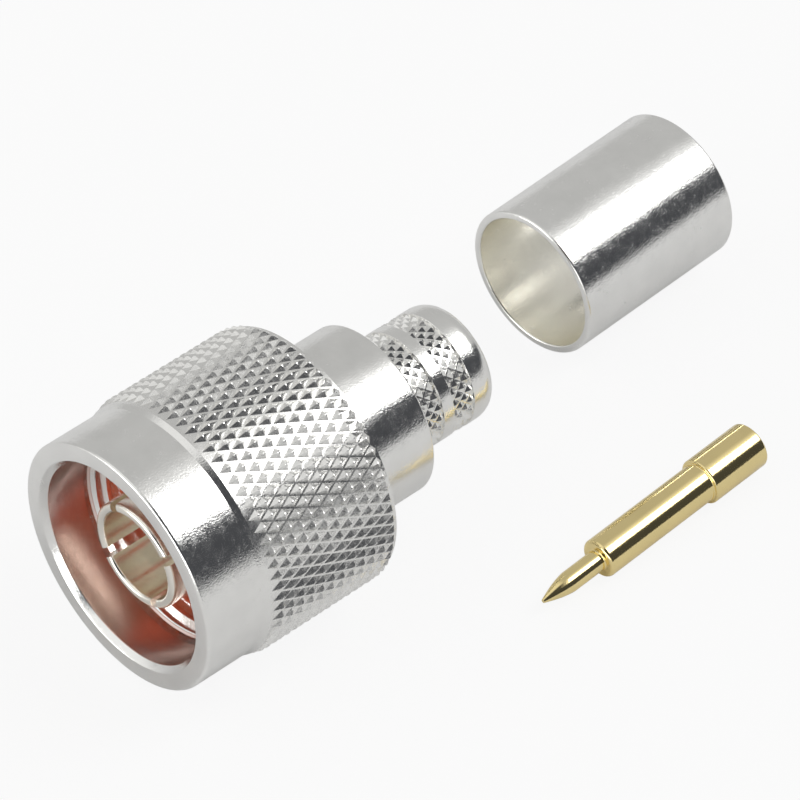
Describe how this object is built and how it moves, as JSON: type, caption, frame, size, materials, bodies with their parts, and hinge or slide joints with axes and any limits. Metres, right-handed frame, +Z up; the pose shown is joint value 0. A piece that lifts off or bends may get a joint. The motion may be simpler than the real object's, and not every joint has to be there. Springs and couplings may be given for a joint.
{
  "type": "n type connector",
  "caption": "Crimp-style coaxial cable plug with a knurled threaded coupling nut, slotted outer contact and red gasket, with its loose crimp ferrule and gold centre contact.",
  "frame": {"origin": "on the plug's axis in the front plane of the coupling nut", "axes": "+Y along the plug's axis from the mouth to the cable end, +Z up from the surface that the kit lies on, +X to the centre contact's side"},
  "size_m": [0.0296, 0.0609, 0.021],
  "materials": {
    "nut_plating": "bright silver-coloured plating over brass",
    "spring_bronze": "bare spring bronze",
    "silicone": "matt red silicone rubber",
    "body_plating": "bright silver-coloured plating over brass",
    "contact_plating": "silver plating over spring bronze",
    "ptfe": "white fluoropolymer",
    "gold_plating": "polished gold plating over brass",
    "ferrule_plating": "satin silver-coloured plating over soft copper alloy"
  },
  "bodies": {
    "plug": {"plug_body": "body_plating", "outer_contact": "contact_plating", "insulator": "ptfe", "gasket": "silicone", "retaining_ring": "spring_bronze", "centre_contact": "gold_plating", "crimp_ferrule": "ferrule_plating"},
    "nut": {"coupling_nut": "nut_plating"}
  },
  "joints": [
    {"name": "nut_spin", "type": "hinge", "parent": "plug", "child": "nut", "pos_m": [0, 0.015, 0], "axis": [0, 1, 0], "continuous": true}
  ]
}
